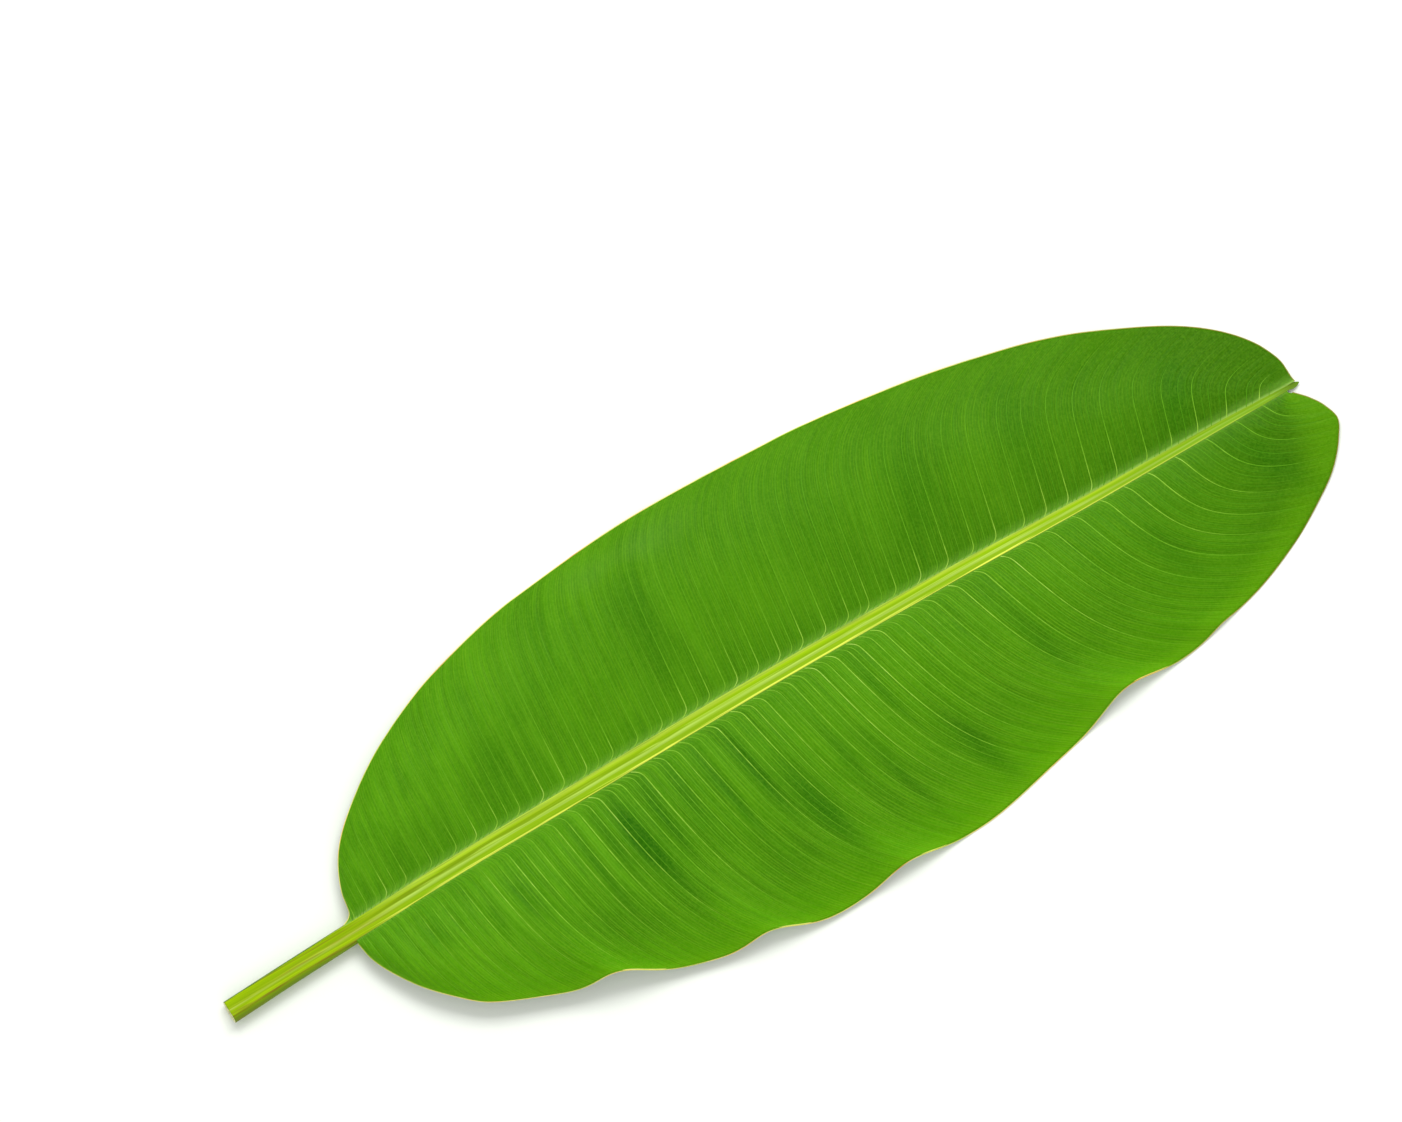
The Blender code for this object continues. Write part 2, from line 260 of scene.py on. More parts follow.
def folds_at(side, x, y):
    """How deep in a fold each place of a half lies: about 1 in a full fold, below 0 on a swell."""
    depth = 0 * x
    for place_x, place_y, lean, breadth, length, strength in FOLDS[side]:
        dx, dy = x - place_x, y - place_y
        across = (dx + dy * lean) / math.hypot(1, lean) / breadth
        along = (dy - dx * lean) / math.hypot(1, lean) / length
        depth = depth + strength * np.exp(-(across**2) - along**2)
    return depth


def blade_points(half, share, out):
    """Places on one half of the blade: share is the way from base to tip, out from rim to margin."""
    side, veins, edge, waves, arch, crest, even, turn = half
    table = np.column_stack([along_half(veins), veins])
    station, margin_x, margin_y = (smooth(table, i, share) for i in (1, 2, 3))
    margin_z = smooth(edge, 1, margin_x)
    lift = 0 * margin_x
    for place, draw_in, rise, spread in waves:
        swell = np.exp(-(((margin_x - place) / spread) ** 2))
        margin_y = margin_y - side * draw_in * swell
        lift = lift + rise * swell
    rim_y, rim_z = rim_place(station, side)
    bend = (1 - even) * np.clip(share / STRAIGHT_BASE, 0, 1)
    bend = bend + max(0.0, even - TIP_EVEN) * np.clip((share - TIP_FROM) / TIP_OVER, 0, 1)
    forward = (1 - bend) * out + bend * out**turn
    x = station + (margin_x - station) * forward
    y = rim_y + (margin_y - rim_y) * out
    reach = np.abs(margin_y - rim_y)
    hook_reach, hook_width, hook_full = HOOKS[side]
    hook = hook_reach * np.clip(share / hook_full, 0, 1)
    hook = hook * np.clip((1 - share) / HOOK_FADE, 0, 1)
    x = x - hook * np.exp(-((reach * out / hook_width) ** 1.5))
    hump = np.sin(math.pi * out ** (math.log(0.5) / math.log(crest)))
    z = rim_z + (margin_z - rim_z) * out
    z = z + arch * np.clip(reach / ARCH_FULL_WIDTH, 0, 1) * hump
    z = z + lift * out**WAVE_REACH
    phase = math.pi * vein_phase(share, side)
    fold = PLEAT_DEPTH[side] * (np.abs(np.sin(phase)) + 0.6 * np.abs(np.sin(2 * phase)) - 1)
    fold = fold - FOLD_DEPTH * folds_at(side, x, y)
    fold = fold * np.clip(reach / FOLD_FULL_WIDTH, 0, 1)
    z = z + fold * np.sin(math.pi * np.clip(out, 0, 1)) ** 0.5
    return x + BLADE_BASE[0], y + BLADE_BASE[1], np.maximum(z, LOWEST_FACE)


def srgb(code):
    """An sRGB hex colour as linear RGBA."""
    parts = [int(code[i:i + 2], 16) / 255 for i in (1, 3, 5)]
    return [p / 12.92 if p <= 0.04045 else ((p + 0.055) / 1.055) ** 2.4 for p in parts] + [1.0]


def fill_inputs(tree, node, inputs):
    """Gives a node's inputs, in order or by name, their values, hex colours and links. A link from
    a node takes that node's first output in use."""
    for socket, value in inputs.items() if isinstance(inputs, dict) else enumerate(inputs):
        if isinstance(value, bpy.types.Node):
            value = next(output for output in value.outputs if output.enabled)
        if isinstance(value, bpy.types.NodeSocket):
            tree.links.new(value, node.inputs[socket])
        elif str(value).startswith("#"):
            node.inputs[socket].default_value = srgb(value)
        else:
            node.inputs[socket].default_value = value


def add_node(tree, kind, inputs=(), stops=(), **settings):
    """Adds a node with its settings and inputs. Stops fill a colour ramp."""
    made = tree.nodes.new(kind)
    for key, value in settings.items():
        setattr(made, key, value)
    fill_inputs(tree, made, inputs)
    for number, (position, code) in enumerate(stops):
        elements = made.color_ramp.elements
        element = elements[number] if number < len(elements) else elements.new(position)
        element.position = position
        element.color = srgb(code)
    return made


def new_material(name):
    """An empty material: itself, its tree, its shader, and the function that adds a node to it."""
    material = bpy.data.materials.new(name)
    material.use_nodes = True
    tree = material.node_tree
    return material, tree, tree.nodes["Principled BSDF"], partial(add_node, tree)


def grid_faces(columns, rows, offset=0, flip=False):
    """Quads of a grid whose points run down each column in turn."""
    i, j = np.meshgrid(np.arange(columns - 1), np.arange(rows - 1), indexing="ij")
    corner = (offset + i * rows + j).ravel()
    quads = np.stack([corner, corner + rows, corner + rows + 1, corner + 1], axis=1)
    return quads[:, ::-1] if flip else quads


def add_piece(name, points, faces, attributes=(), material_index=None, edges=()):
    """A smooth mesh object at the origin, with its points' attributes and its faces' materials."""
    mesh = bpy.data.meshes.new(name)
    mesh.from_pydata(np.asarray(points).tolist(), edges, [list(face) for face in faces])
    for key, values in dict(attributes).items():
        layer = mesh.attributes.new(key, "FLOAT", "POINT")
        layer.data.foreach_set("value", np.asarray(values, np.float32).ravel())
    if material_index is not None:
        mesh.polygons.foreach_set("material_index", np.asarray(material_index, np.int32))
    mesh.polygons.foreach_set("use_smooth", np.ones(len(mesh.polygons), bool))
    mesh.update()
    made = bpy.data.objects.new(name, mesh)
    bpy.context.scene.collection.objects.link(made)
    return made


def make_blade_half(name, half, materials):
    """One half of the blade as a closed sheet: face, underside and thin edge. Its rows lie closer
    together at the midrib and the margin."""
    side = half[0]
    share = np.linspace(0, 1, BLADE_COLUMNS)[:, None]
    even = np.linspace(0, 1, BLADE_ROWS)[None, :]
    out = 0.55 * even + 0.45 * (0.5 - 0.5 * np.cos(math.pi * even))
    share, out = np.broadcast_arrays(share, out)
    x, y, z = blade_points(half, share, out)
    reach = np.abs(y[:, -1:] - y[:, :1]) * 1000
    top = np.stack([x, y, z], axis=2).reshape(-1, 3)
    bottom = top - [0, 0, BLADE_THICKNESS]
    count = len(top)
    faces = [grid_faces(BLADE_COLUMNS, BLADE_ROWS, 0, side < 0)]
    faces.append(grid_faces(BLADE_COLUMNS, BLADE_ROWS, count, side > 0))
    index = np.arange(count).reshape(BLADE_COLUMNS, BLADE_ROWS)
    border = np.concatenate([index[:-1, 0], index[-1, :-1], index[:0:-1, -1], index[0, :0:-1]])
    after = np.roll(border, -1)
    edge = np.stack([border, border + count, after + count, after], axis=1)
    faces.append(edge if side > 0 else edge[:, ::-1])
    attributes = {
        "vein": vein_phase(share, side),
        "out": out,
        "from_rib": reach * out,
        "from_edge": reach * (1 - out),
        # How deep in a fold: the face paints shade into the folds and a highlight onto the swells from
        # it.
        "fold": folds_at(side, x - BLADE_BASE[0], y - BLADE_BASE[1]),
    }
    attributes = {key: np.tile(values.ravel(), 2) for key, values in attributes.items()}
    beside_rib = np.arange(len(border)) < BLADE_COLUMNS
    kinds = np.concatenate([
        np.full(len(faces[0]), 0), np.full(len(faces[1]), 1), np.where(beside_rib, 0, 2),
    ])
    made = add_piece(name, np.concatenate([top, bottom]), np.concatenate(faces), attributes, kinds)
    for material in materials:
        made.data.materials.append(material)
    return made


def midrib_ring(station, widen=None):
    """Points round the midrib at a station: sideways place, height, how far across the channel and
    how far up. Widen makes it a plain oval of that half width and half height."""
    axis_y, rim, half, tall, channel, roll = (smooth(MIDRIB, i, station) for i in range(1, 7))
    if widen:
        half, tall = widen
        rim, channel = half * TIP_RIM_SHARE, 0
    roll = math.radians(roll)
    rim_angle = math.acos(rim / half)
    flank_count = MIDRIB_SIDES * 2 // 3
    flank = rim_angle - (math.pi + 2 * rim_angle) * np.arange(flank_count + 1) / flank_count
    across = half * np.cos(flank)
    up = tall * np.sin(flank)
    top_count = MIDRIB_SIDES - flank_count
    top_across = -rim + 2 * rim * np.arange(1, top_count) / top_count
    top_up = up[0] - channel * (1 - (top_across / rim) ** 2) ** 0.7
    across = np.concatenate([across, top_across])
    up = np.concatenate([up, top_up])
    axis_z = smooth(UNDERSIDE, 1, station)
    axis_z += math.hypot(half * math.sin(roll), tall * math.cos(roll))
    y = axis_y + across * math.cos(roll) + up * math.sin(roll)
    z = axis_z - across * math.sin(roll) + up * math.cos(roll)
    return y, np.maximum(z, 0), across / rim, up / tall


def make_midrib(skin, pith):
    """The stalk and midrib, lofted from the slightly hollow cut end to the withered point."""
    rings = []
    for x in np.linspace(MIDRIB[0, 0], MIDRIB[-1, 0], MIDRIB_SECTIONS):
        y, z, across, up = midrib_ring(x)
        slant = 0 if rings else CUT_SLANT * (CUT_PIVOT * z.max() - z)
        rings.append((x - slant + 0 * y, y, z, across, up))
    for x, half, tall in TIP_POINT:
        y, z, across, up = midrib_ring(MIDRIB[-1, 0], widen=(half, tall))
        rings.append((x + 0 * y, y + TIP_DRIFT, z, across, up))
    end = np.stack(rings[0][:3], axis=1)
    middle = end.mean(axis=0)
    for size, hollow in CUT_RINGS:
        x, y, z = (middle + (end - middle) * size + [hollow, 0, 0]).T
        rings.insert(0, (x, y, z, *rings[0][3:]))
    points = np.concatenate([np.stack(ring[:3], axis=1) for ring in rings])
    points += [*BLADE_BASE, 0]
    columns = grid_faces(len(rings), MIDRIB_SIDES)
    first = np.arange(len(rings) - 1) * MIDRIB_SIDES
    beyond = first + MIDRIB_SIDES
    seam = np.stack([beyond - 1, beyond + MIDRIB_SIDES - 1, beyond, first], axis=1)
    last = (len(rings) - 1) * MIDRIB_SIDES
    faces = [*columns, *seam, range(MIDRIB_SIDES), range(last + MIDRIB_SIDES - 1, last - 1, -1)]
    cut_sizes = [size for size, hollow in reversed(CUT_RINGS)]
    cut_sizes += [1.0] * (len(rings) - len(CUT_RINGS))
    attributes = {
        "across": np.concatenate([ring[3] for ring in rings]),
        "height": np.concatenate([ring[4] for ring in rings]),
        "cut": np.repeat(cut_sizes, MIDRIB_SIDES),
    }
    made = add_piece("stalk_and_midrib", points, faces, attributes)
    for face in made.data.polygons:
        if max(face.vertices) < (len(CUT_RINGS) + 1) * MIDRIB_SIDES:
            face.material_index = 1
    made.data.materials.append(skin)
    made.data.materials.append(pith)
    return made


def strand_tree():
    """A node tree that turns lines into flattened strands of tapering width."""
    tree = bpy.data.node_groups.new("strands_along_lines", "GeometryNodeTree")
    tree.interface.new_socket("Geometry", in_out="INPUT", socket_type="NodeSocketGeometry")
    for name, kind in (
        ("Sides", "NodeSocketInt"), ("Width scale", "NodeSocketFloat"),
        ("Flatness", "NodeSocketVector"), ("Material", "NodeSocketMaterial"),
    ):
        tree.interface.new_socket(name, in_out="INPUT", socket_type=kind)
    tree.interface.new_socket("Geometry", in_out="OUTPUT", socket_type="NodeSocketGeometry")
    sizes = add_node(tree, "NodeGroupInput").outputs
    lines = add_node(tree, "GeometryNodeMeshToCurve", (sizes["Geometry"],))
    lines = add_node(tree, "GeometryNodeSetCurveNormal", (lines,), mode="Z_UP")
    width = add_node(tree, "GeometryNodeInputNamedAttribute", ("half_width",), data_type="FLOAT")
    width = add_node(tree, "ShaderNodeMath", (width, sizes["Width scale"]), operation="MULTIPLY")
    outline = add_node(
        tree, "GeometryNodeCurvePrimitiveCircle", {"Resolution": sizes["Sides"], "Radius": 1.0}
    )
    outline = add_node(
        tree, "GeometryNodeTransform", {"Geometry": outline, "Scale": sizes["Flatness"]}
    )
    strand = add_node(
        tree, "GeometryNodeCurveToMesh",
        {"Curve": lines, "Profile Curve": outline, "Scale": width, "Fill Caps": True},
    )
    strand = add_node(tree, "GeometryNodeSetShadeSmooth", {"Geometry": strand, "Shade Smooth": True})
    strand = add_node(tree, "GeometryNodeRealizeInstances", (strand,))
    strand = add_node(
        tree, "GeometryNodeSetMaterial", {"Geometry": strand, "Material": sizes["Material"]}
    )
    add_node(tree, "NodeGroupOutput", (strand,))
    return tree


def make_strands(name, lines, attributes, tree, material, sides):
    """A plain mesh of strands, one along each line of points. Their attributes are a half width for
    each point and whatever the material reads."""
    points = np.concatenate(lines)
    edges, start = [], 0
    for line in lines:
        edges += [(start + step, start + step + 1) for step in range(len(line) - 1)]
        start += len(line)
    made = add_piece(name, points, [], attributes, edges=edges)
    modifier = made.modifiers.new("strands", "NODES")
    modifier.node_group = tree
    values = {
        "Sides": sides, "Width scale": 1.0, "Flatness": (1.0, STRAND_FLATNESS, 1.0),
        "Material": material,
    }
    for socket in tree.interface.items_tree:
        if socket.in_out == "INPUT" and socket.name in values:
            modifier[socket.identifier] = values[socket.name]
    graph = bpy.context.evaluated_depsgraph_get()
    solid = bpy.data.meshes.new_from_object(made.evaluated_get(graph))
    made.modifiers.clear()
    line_mesh = made.data
    made.data = solid
    bpy.data.meshes.remove(line_mesh)
    solid.name = name
    return made


def blade_width(half, share):
    """How wide a half is from rib to margin."""
    start, end = (blade_points(half, share, np.full_like(share, place))[1] for place in (0, 1))
    return np.abs(end - start)


def vein_paleness(side, main, bold, strength, share, out, from_rib):
    """How pale a vein is at each place. It fades towards the margin. On the upper half it is palest
    beside the midrib. On the lower half it gains strength past the base, where it is faint beside
    the midrib, and loses some towards the tip. The lesser veins fade out near the tip."""
    if side > 0:
        pale = strength * (0.7 + 0.9 * bold * np.exp(-((from_rib / 0.035) ** 2)))
    else:
        near_base = np.clip((0.32 - share) / 0.16, 0, 1)
        pale = strength * (0.45 + 0.90 * np.clip(share / 0.22, 0, 1)) * (1 - 0.35 * share)
        pale = pale * (1 - 0.85 * near_base * np.clip((0.18 - out) / 0.16, 0, 1))
    if not main:
        pale = pale * (1 - 0.75 * np.clip((share - 0.62) / 0.22, 0, 1))
    pale = pale * (1 - VEIN_FADING[side] * out)
    if side > 0 and main:
        pale = pale + 0.20 * np.exp(-((from_rib / 0.012) ** 2))
    return pale


def make_veins(name, half, tree, material):
    """The lateral veins that stand up from one half of the blade, in their ranks. Their steps lie
    closer together at the midrib, where they turn. None lies right at the base or the tip."""
    side = half[0]
    random = np.random.default_rng(7 + side)
    dense = np.linspace(0, 1, 6001)
    phase = vein_phase(dense, side)
    out = 0.006 + 0.974 * np.linspace(0, 1, VEIN_STEPS) ** 1.5
    lines, widths, paleness = [], [], []
    for number in range(int(phase.min()), int(phase.max()) + 1):
        for place, half_width, strength in VEIN_RANKS:
            where = number + place + random.uniform(-0.05, 0.05)
            strength *= VEIN_STRENGTH[side] * random.uniform(0.6, 1.15)
            end = random.uniform(0.90, 1.0)
            if not phase[0] + 0.4 < where < phase[-1] - 0.4:
                continue
            share = np.interp(where, phase, dense) + 0 * out
            x, y, z = blade_points(half, share, out * end)
            lines.append(np.stack([x, y, z + VEIN_LIFT], axis=1))
            taper = (1 - 0.40 * out) * np.clip((1.02 - out) / 0.25, 0.05, 1)
            widths.append(half_width * taper)
            from_rib = out * blade_width(half, share)
            main, bold = place == 0, half_width > BOLD_VEIN
            paleness.append(vein_paleness(side, main, bold, strength, share, out, from_rib))
    attributes = {"half_width": np.concatenate(widths), "paleness": np.concatenate(paleness)}
    return make_strands(name, lines, attributes, tree, material, VEIN_SIDES)


def make_rim(name, half, tree, material):
    """The thickened rim that runs round the margin of one half."""
    share = np.linspace(0, 1, RIM_STEPS)
    x, y, z = blade_points(half, share, np.ones_like(share))
    line = np.stack([x, y, z - BLADE_THICKNESS / 2], axis=1)
    attributes = {"half_width": np.full(RIM_STEPS, RIM_HALF_WIDTH)}
    return make_strands(name, [line], attributes, tree, material, RIM_SIDES)


def vein_streaks(tree, cells, lengthwise, seed):
    """Noise drawn out along the veins: cells from one main vein to the next, and from rib to margin."""
    node = partial(add_node, tree)
    parts = []
    for key, count in (("vein", cells), ("out", lengthwise)):
        part = node("ShaderNodeAttribute", attribute_name=key).outputs["Fac"]
        parts.append(node("ShaderNodeMath", (part, count), operation="MULTIPLY"))
    place = node("ShaderNodeCombineXYZ", (*parts, seed))
    return node(
        "ShaderNodeTexNoise", {"Vector": place, "Scale": 1.0, "Detail": 2.0, "Roughness": 0.55}
    )


# The face of each half: the bloom beside the midrib, how much lighter and yellower it turns towards
# the margin, its roughness, how strong its bands and hair veins are, and the green that it deepens to.
FACE_LOOKS = {
    "upper": {
        "bloom": 0.60, "margin_lightening": 0.05, "sheen": 0.44, "banding": 0.34, "hairiness": 0.28,
        "deep_green": "#346802",
    },
    "lower": {
        "bloom": 0.12, "margin_lightening": 0.70, "sheen": 0.40, "banding": 0.42, "hairiness": 0.42,
        "deep_green": "#3c7403",
    },
}
HAIR_VEINS = 10.0  # in each space between two main veins
LEAF_IOR = 1.42  # wax and wet tissue


def leaf_face(name, bloom, margin_lightening, sheen, banding, hairiness, deep_green):
    """The blade's face: a waxy living leaf. Its green is broken up by strands that run out along the
    lateral veins, it yellows towards the margin, and the gloss is soft and low. Distances from the
    midrib and from the margin are in millimetres, and places along the leaf in metres."""
    material, tree, shader, node = new_material(name)
    vein, fold, from_rib, from_edge = (
        node("ShaderNodeAttribute", attribute_name=key).outputs["Fac"]
        for key in ("vein", "fold", "from_rib", "from_edge")
    )
    where = node("ShaderNodeTexCoord").outputs["Object"]
    along = node("ShaderNodeSeparateXYZ", (where,)).outputs["X"]
    light, dark = "#5f9f12", "#386e04"

    # Broad tone in patches about 65 mm across.
    patches = node("ShaderNodeTexNoise", {"Vector": where, "Scale": 15.0, "Detail": 2.0})
    colour = node(
        "ShaderNodeValToRGB", (patches,),
        stops=((0.30, "#3f7c05"), (0.50, "#468506"), (0.72, "#509007")),
    )
    bands = vein_streaks(tree, 1.4, 1.2, 3.0)
    streaks = vein_streaks(tree, 5.0, 2.0, 11.0)
    at_tip = node("ShaderNodeMapRange", (along, 0.20, 0.42, margin_lightening, 0.05 * margin_lightening))
    for source, start, end, least, most, curve, tint in (
        # Bands about 14 mm wide, lighter and deeper, partly a random tone and partly painted light and
        # shade on the pleats between the veins; then streaks about 4 mm wide, some lighter, some
        # deeper.
        (bands, 0.44, 0.70, 0.0, banding, "SMOOTHSTEP", light),
        (bands, 0.30, 0.44, banding, 0.0, "SMOOTHSTEP", dark),
        (streaks, 0.50, 0.68, 0.0, 0.9 * banding, "LINEAR", light),
        (streaks, 0.32, 0.50, 0.9 * banding, 0.0, "LINEAR", dark),
        # The blade deepens from the stalk to the tip.
        (along, -0.25, 0.44, 0.0, 0.85, "LINEAR", deep_green),
        (along, 0.31, 0.43, 0.0, 0.75, "SMOOTHSTEP", "#326203"),
        # The face turns lighter and yellower towards the margin, though less so at the tip.
        (from_edge, 55.0, 4.0, 0.0, at_tip, "SMOOTHSTEP", "#529700"),
        (from_edge, 13.0, 2.0, 0.0, 0.6 * margin_lightening, "SMOOTHSTEP", "#62a204"),
    ):
        share = node("ShaderNodeMapRange", (source, start, end, least, most), interpolation_type=curve)
        colour = node("ShaderNodeMix", {0: share, 6: colour, 7: tint}, data_type="RGBA")

    # Hair veins about 2 mm apart, drawn wider than real ones so that they show.
    wander = vein_streaks(tree, 2.0, 5.0, 41.0)
    wander = node("ShaderNodeMath", (wander, 0.8), operation="MULTIPLY")
    hairs = node("ShaderNodeMath", (vein, HAIR_VEINS, wander), operation="MULTIPLY_ADD")
    hairs = node("ShaderNodeMath", (hairs, 0.5), operation="PINGPONG")
    hairs = node("ShaderNodeMapRange", (hairs, 0.05, 0.28, 1.0, 0.0), interpolation_type="SMOOTHSTEP")
    showing = vein_streaks(tree, 6.0, 5.0, 17.0)
    showing = node("ShaderNodeMapRange", (showing, 0.36, 0.66, hairiness * 0.15, hairiness))
    hairs = node("ShaderNodeMath", (hairs, showing), operation="MULTIPLY")
    thinning = node("ShaderNodeMapRange", (along, 0.22, 0.42, 1.0, 0.3))
    hairs = node("ShaderNodeMath", (hairs, thinning), operation="MULTIPLY")
    colour = node("ShaderNodeMix", {0: hairs, 6: colour, 7: "#76ae1e"}, data_type="RGBA")

    # Painted shade darkens the folds, and a painted highlight lightens the swells, on top of their real
    # relief.
    for strength, tint in ((1.15, "#286402"), (-0.60, "#6f9f48")):
        share = node("ShaderNodeMath", (fold, strength), operation="MULTIPLY", use_clamp=True)
        colour = node("ShaderNodeMix", {0: share, 6: colour, 7: tint}, data_type="RGBA")

    # A pale bloom where the veins run in beside the midrib.
    for reach, end, most, tint in ((9.0, 1.0, 0.45 * bloom, "#8cc04a"), (2.6, 0.2, bloom, "#aed668")):
        share = node(
            "ShaderNodeMapRange", (from_rib, reach, end, 0.0, most), interpolation_type="SMOOTHSTEP"
        )
        colour = node("ShaderNodeMix", {0: share, 6: colour, 7: tint}, data_type="RGBA")

    # Fine mottling, about 2 mm across.
    mottle = node(
        "ShaderNodeTexNoise", {"Vector": where, "Scale": 500.0, "Detail": 3.0, "Roughness": 0.7}
    )
    mottle = node("ShaderNodeMapRange", (mottle, 0.40, 0.62, 0.0, 0.14))
    colour = node("ShaderNodeMix", {0: mottle, 6: colour, 7: "#7ab42a"}, data_type="RGBA")

    relief = node("ShaderNodeMath", (hairs, 0.5, streaks), operation="MULTIPLY_ADD")
    fill_inputs(tree, shader, {
        "Base Color": colour,
        "Roughness": node("ShaderNodeMapRange", (streaks, 0.3, 0.7, sheen - 0.05, sheen + 0.06)),
        "IOR": LEAF_IOR,
        "Specular IOR Level": 0.03,
        "Subsurface Weight": 0.25,
        "Subsurface Radius": (0.5, 1.0, 0.15),
        "Subsurface Scale": 0.0015,
        "Normal": node("ShaderNodeBump", {"Height": relief, "Strength": 1.0, "Distance": 0.0008}),
    })
    return material


def leaf_underside():
    """The underside: matt and paler than the face under a greyish bloom of wax, with the same
    veins a little raised."""
    material, tree, shader, node = new_material("waxy_leaf_underside")
    vein = node("ShaderNodeAttribute", attribute_name="vein").outputs["Fac"]
    where = node("ShaderNodeTexCoord").outputs["Object"]
    # Patches about 55 mm across.
    patches = node("ShaderNodeTexNoise", {"Vector": where, "Scale": 18.0, "Detail": 3.0})
    colour = node(
        "ShaderNodeValToRGB", (patches,),
        stops=((0.32, "#6f9c42"), (0.52, "#7ba84e"), (0.72, "#8bb45e")),
    )
    # The veins of the first two ranks, about 10 mm apart, and the hair veins of the face.
    ribs = node("ShaderNodeMath", (vein, 2.0), operation="MULTIPLY")
    ribs = node("ShaderNodeMath", (ribs, 0.5), operation="PINGPONG")
    ribs = node("ShaderNodeMapRange", (ribs, 0.0, 0.07, 0.7, 0.0), interpolation_type="SMOOTHSTEP")
    colour = node("ShaderNodeMix", {0: ribs, 6: colour, 7: "#a9c97c"}, data_type="RGBA")
    hairs = node("ShaderNodeMath", (vein, HAIR_VEINS), operation="MULTIPLY")
    hairs = node("ShaderNodeMath", (hairs, 0.5), operation="PINGPONG")
    hairs = node("ShaderNodeMapRange", (hairs, 0.05, 0.28, 0.25, 0.0))
    colour = node("ShaderNodeMix", {0: hairs, 6: colour, 7: "#94ba6a"}, data_type="RGBA")
    relief = node("ShaderNodeMath", (hairs, 0.4, ribs), operation="MULTIPLY_ADD")
    fill_inputs(tree, shader, {
        "Base Color": colour,
        "Roughness": 0.62,
        "IOR": LEAF_IOR,
        "Specular IOR Level": 0.2,
        "Subsurface Weight": 0.4,
        "Subsurface Radius": (0.6, 1.0, 0.2),
        "Subsurface Scale": 0.002,
        "Normal": node("ShaderNodeBump", {"Height": relief, "Strength": 1.0, "Distance": 0.0006}),
    })
    return material


def vein_skin():
    """The raised veins: pale, smooth bundles, broken up in stretches about 8 mm long, that fade into
    the green as they run out."""
    material, tree, shader, node = new_material("lateral_vein")
    paleness = node("ShaderNodeAttribute", attribute_name="paleness").outputs["Fac"]
    where = node("ShaderNodeTexCoord").outputs["Object"]
    broken = node("ShaderNodeTexNoise", {"Vector": where, "Scale": 120.0, "Detail": 2.0})
    broken = node("ShaderNodeMapRange", (broken, 0.35, 0.65, 0.65, 1.1))
    share = node("ShaderNodeMath", (paleness, broken), operation="MULTIPLY")
    colour = node(
        "ShaderNodeValToRGB", (share,),
        stops=((0.0, "#468a08"), (0.35, "#6aa91e"), (0.70, "#95c63e"), (1.0, "#acd45c")),
    )
    fill_inputs(tree, shader, {
        "Base Color": colour, "Roughness": 0.45, "IOR": LEAF_IOR, "Specular IOR Level": 0.1,
    })
    return material


def margin_rim():
    """The thin, dry rim of the margin: straw yellow, browner in stretches about 45 mm long, and dull
    olive towards the tip."""
    material, tree, shader, node = new_material("dry_margin_rim")
    where = node("ShaderNodeTexCoord").outputs["Object"]
    stretches = node(
        "ShaderNodeTexNoise", {"Vector": where, "Scale": 22.0, "Detail": 3.0, "Roughness": 0.6}
    )
    colour = node(
        "ShaderNodeValToRGB", (stretches,),
        stops=((0.34, "#bccb44"), (0.47, "#e2dc74"), (0.60, "#e8cc68"), (0.74, "#cc943a")),
    )
    along = node("ShaderNodeSeparateXYZ", (where,)).outputs["X"]
    share = node("ShaderNodeMapRange", (along, 0.18, 0.40, 0.0, 0.9))
    colour = node("ShaderNodeMix", {0: share, 6: colour, 7: "#86781c"}, data_type="RGBA")
    fill_inputs(tree, shader, {"Base Color": colour, "Roughness": 0.6, "Specular IOR Level": 0.2})
    return material


